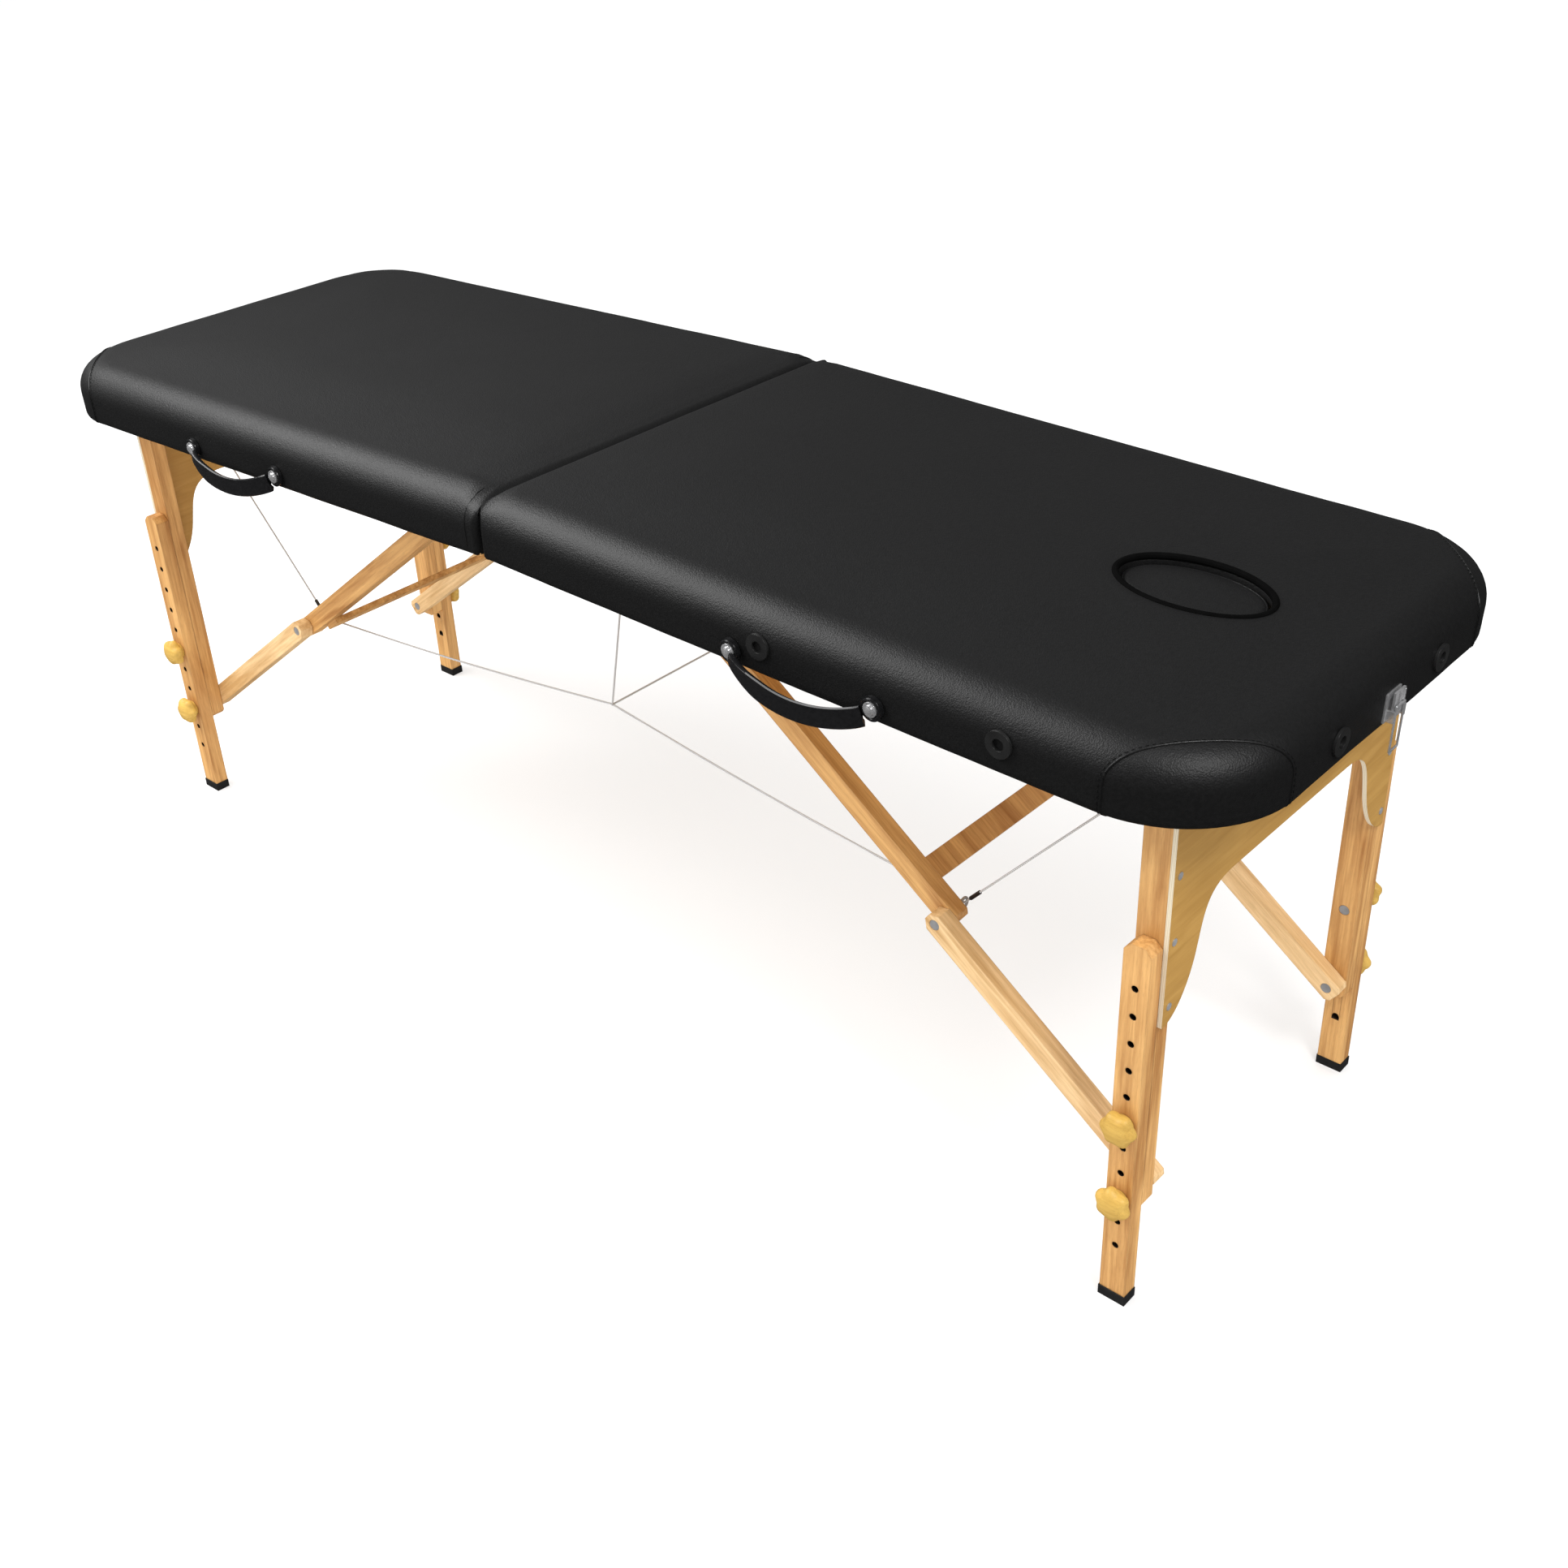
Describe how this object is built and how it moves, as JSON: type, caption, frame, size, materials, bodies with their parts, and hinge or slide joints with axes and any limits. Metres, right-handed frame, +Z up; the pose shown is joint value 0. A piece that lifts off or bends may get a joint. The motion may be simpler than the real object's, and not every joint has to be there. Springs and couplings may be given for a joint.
{
  "type": "portable massage table",
  "caption": "Two-section folding massage table: black padded top with face hole and plug, timber frame, folding height-adjustable legs with cable-braced struts.",
  "frame": {"origin": "on the floor under the middle of the centre hinge line", "axes": "+X towards the head end, +Y away from the side with the carrying handles, +Z up"},
  "size_m": [1.8708, 0.6123, 0.711],
  "materials": {
    "beech": "satin",
    "plywood": "satin",
    "pale_wood": "satin",
    "black_leather": "satin",
    "black_plastic": "matte",
    "black_rubber": "matte",
    "chrome_steel": "polished",
    "zinc_steel": "satin",
    "cable_steel": "satin"
  },
  "bodies": {
    "head_half": {"head_side_rails": "beech", "head_cross_rails": "beech", "head_deck": "plywood", "head_pad": "black_leather", "head_handle_tabs": "black_leather", "head_handle_screws": "chrome_steel", "head_hinge_leaves": "zinc_steel", "head_leg_brackets": "zinc_steel", "head_cables": "cable_steel", "head_sockets": "black_plastic", "latch_base": "chrome_steel"},
    "head_legs": {"head_upper_legs": "beech", "head_end_panel": "plywood", "head_leg_fasteners": "zinc_steel"},
    "head_near_leg_extension": {"head_near_extension": "beech", "head_near_foot": "black_rubber"},
    "head_near_upper_knob": {"head_near_upper_knob": "pale_wood"},
    "head_near_lower_knob": {"head_near_lower_knob": "pale_wood"},
    "head_far_leg_extension": {"head_far_extension": "beech", "head_far_foot": "black_rubber"},
    "head_far_upper_knob": {"head_far_upper_knob": "pale_wood"},
    "head_far_lower_knob": {"head_far_lower_knob": "pale_wood"},
    "head_upper_brace_frame": {"head_upper_braces": "beech", "head_knee_eyes": "zinc_steel"},
    "head_lower_brace_pair": {"head_lower_braces": "beech", "head_knee_bolts": "zinc_steel"},
    "head_handle_strap": {"head_handle": "black_leather"},
    "foot_half": {"foot_side_rails": "beech", "foot_cross_rails": "beech", "foot_deck": "plywood", "foot_pad": "black_leather", "foot_handle_tabs": "black_leather", "foot_handle_screws": "chrome_steel", "foot_hinge_leaves": "zinc_steel", "foot_leg_brackets": "zinc_steel", "foot_cables": "cable_steel", "latch_keeper": "chrome_steel"},
    "foot_legs": {"foot_upper_legs": "beech", "foot_end_panel": "plywood", "foot_leg_fasteners": "zinc_steel"},
    "foot_near_leg_extension": {"foot_near_extension": "beech", "foot_near_foot": "black_rubber"},
    "foot_near_upper_knob": {"foot_near_upper_knob": "pale_wood"},
    "foot_near_lower_knob": {"foot_near_lower_knob": "pale_wood"},
    "foot_far_leg_extension": {"foot_far_extension": "beech", "foot_far_foot": "black_rubber"},
    "foot_far_upper_knob": {"foot_far_upper_knob": "pale_wood"},
    "foot_far_lower_knob": {"foot_far_lower_knob": "pale_wood"},
    "foot_upper_brace_frame": {"foot_upper_braces": "beech", "foot_knee_eyes": "zinc_steel"},
    "foot_lower_brace_pair": {"foot_lower_braces": "beech", "foot_knee_bolts": "zinc_steel"},
    "foot_handle_strap": {"foot_handle": "black_leather"},
    "face_plug": {"head_plug": "black_leather"},
    "latch_lever": {"latch_lever": "chrome_steel"},
    "latch_bail": {"latch_bail": "chrome_steel"},
    "centre_pins": {"hinge_pins": "zinc_steel", "centre_cables": "cable_steel"}
  },
  "joints": [
    {"name": "centre_fold_a", "type": "hinge", "parent": "head_half", "child": "centre_pins", "pos_m": [0, 0, 0.638], "axis": [0, -1, 0], "range_deg": [0, 88.6], "stiffness_Nm_per_rad": 450, "springref_deg": 3, "deforming": ["centre_cables", "head_cables"]},
    {"name": "centre_fold_b", "type": "hinge", "parent": "centre_pins", "child": "foot_half", "pos_m": [0, 0, 0.638], "axis": [0, -1, 0], "range_deg": [0, 88.6], "stiffness_Nm_per_rad": 450, "springref_deg": 3, "deforming": ["foot_cables"]},
    {"name": "face_plug_lift", "type": "slide", "parent": "head_half", "child": "face_plug", "axis": [0.0244, 0, 0.9997], "range_m": [0, 0.08]},
    {"name": "foot_leg_fold", "type": "hinge", "parent": "foot_half", "child": "foot_legs", "pos_m": [-0.83119, 0, 0.63569], "axis": [0, -1, 0], "range_deg": [0, 91.4], "deforming": ["foot_cables"]},
    {"name": "head_leg_fold", "type": "hinge", "parent": "head_half", "child": "head_legs", "pos_m": [0.83119, 0, 0.63569], "axis": [0, 1, 0], "range_deg": [0, 91.4], "deforming": ["head_cables"]},
    {"name": "handle_foot_swing", "type": "hinge", "parent": "foot_half", "child": "foot_handle_strap", "pos_m": [-0.47023, -0.3053, 0.64181], "axis": [-0.9997, 0, -0.0244], "range_deg": [0, 80]},
    {"name": "handle_head_swing", "type": "hinge", "parent": "head_half", "child": "head_handle_strap", "pos_m": [0.47023, -0.3053, 0.64181], "axis": [-0.9997, 0, 0.0244], "range_deg": [0, 80]},
    {"name": "latch_lever_turn", "type": "hinge", "parent": "head_half", "child": "latch_lever", "pos_m": [0.93156, 0, 0.62924], "axis": [0, 1, 0], "range_deg": [0, 120]},
    {"name": "leg_length_foot_far", "type": "slide", "parent": "foot_legs", "child": "foot_far_leg_extension", "axis": [0, 0, -1], "range_m": [-0.066, 0.165], "stiffness_N_per_m": 60000},
    {"name": "leg_length_foot_near", "type": "slide", "parent": "foot_legs", "child": "foot_near_leg_extension", "axis": [0, 0, -1], "range_m": [-0.066, 0.165], "stiffness_N_per_m": 60000},
    {"name": "leg_length_head_far", "type": "slide", "parent": "head_legs", "child": "head_far_leg_extension", "axis": [0, 0, -1], "range_m": [-0.066, 0.165], "stiffness_N_per_m": 60000},
    {"name": "leg_length_head_near", "type": "slide", "parent": "head_legs", "child": "head_near_leg_extension", "axis": [0, 0, -1], "range_m": [-0.066, 0.165], "stiffness_N_per_m": 60000},
    {"name": "turn_knob_foot_far_lower", "type": "hinge", "parent": "foot_legs", "child": "foot_far_lower_knob", "pos_m": [-0.82519, 0.258, 0.144], "axis": [0, 1, 0], "continuous": true},
    {"name": "turn_knob_foot_far_upper", "type": "hinge", "parent": "foot_legs", "child": "foot_far_upper_knob", "pos_m": [-0.82519, 0.258, 0.243], "axis": [0, 1, 0], "continuous": true},
    {"name": "turn_knob_foot_near_lower", "type": "hinge", "parent": "foot_legs", "child": "foot_near_lower_knob", "pos_m": [-0.82519, -0.258, 0.144], "axis": [0, -1, 0], "continuous": true},
    {"name": "turn_knob_foot_near_upper", "type": "hinge", "parent": "foot_legs", "child": "foot_near_upper_knob", "pos_m": [-0.82519, -0.258, 0.243], "axis": [0, -1, 0], "continuous": true},
    {"name": "turn_knob_head_far_lower", "type": "hinge", "parent": "head_legs", "child": "head_far_lower_knob", "pos_m": [0.82519, 0.258, 0.144], "axis": [0, 1, 0], "continuous": true},
    {"name": "turn_knob_head_far_upper", "type": "hinge", "parent": "head_legs", "child": "head_far_upper_knob", "pos_m": [0.82519, 0.258, 0.243], "axis": [0, 1, 0], "continuous": true},
    {"name": "turn_knob_head_near_lower", "type": "hinge", "parent": "head_legs", "child": "head_near_lower_knob", "pos_m": [0.82519, -0.258, 0.144], "axis": [0, -1, 0], "continuous": true},
    {"name": "turn_knob_head_near_upper", "type": "hinge", "parent": "head_legs", "child": "head_near_upper_knob", "pos_m": [0.82519, -0.258, 0.243], "axis": [0, -1, 0], "continuous": true},
    {"name": "upper_brace_turn_foot", "type": "hinge", "parent": "foot_half", "child": "foot_upper_brace_frame", "pos_m": [-0.11571, 0, 0.66568], "axis": [0, 1, 0], "range_deg": [0, 34.95]},
    {"name": "lower_brace_turn_foot", "type": "hinge", "parent": "foot_legs", "child": "foot_lower_brace_pair", "pos_m": [-0.82519, 0, 0.144], "axis": [0, -1, 0], "range_deg": [0, 52.56]},
    {"name": "upper_brace_turn_head", "type": "hinge", "parent": "head_half", "child": "head_upper_brace_frame", "pos_m": [0.11571, 0, 0.66568], "axis": [0, -1, 0], "range_deg": [0, 34.95]},
    {"name": "lower_brace_turn_head", "type": "hinge", "parent": "head_legs", "child": "head_lower_brace_pair", "pos_m": [0.82519, 0, 0.144], "axis": [0, 1, 0], "range_deg": [0, 52.56]},
    {"name": "latch_bail_swing", "type": "hinge", "parent": "latch_lever", "child": "latch_bail", "pos_m": [0.93481, 0, 0.63916], "axis": [0, 1, 0], "range_deg": [-120, 0]}
  ],
  "couplings": [
    {"joint": "upper_brace_turn_foot", "follows": "foot_leg_fold", "ratio": 0.38213},
    {"joint": "lower_brace_turn_foot", "follows": "foot_leg_fold", "ratio": 0.57482},
    {"joint": "upper_brace_turn_head", "follows": "head_leg_fold", "ratio": 0.38213},
    {"joint": "lower_brace_turn_head", "follows": "head_leg_fold", "ratio": 0.57482},
    {"joint": "latch_bail_swing", "follows": "latch_lever_turn", "ratio": -1}
  ]
}
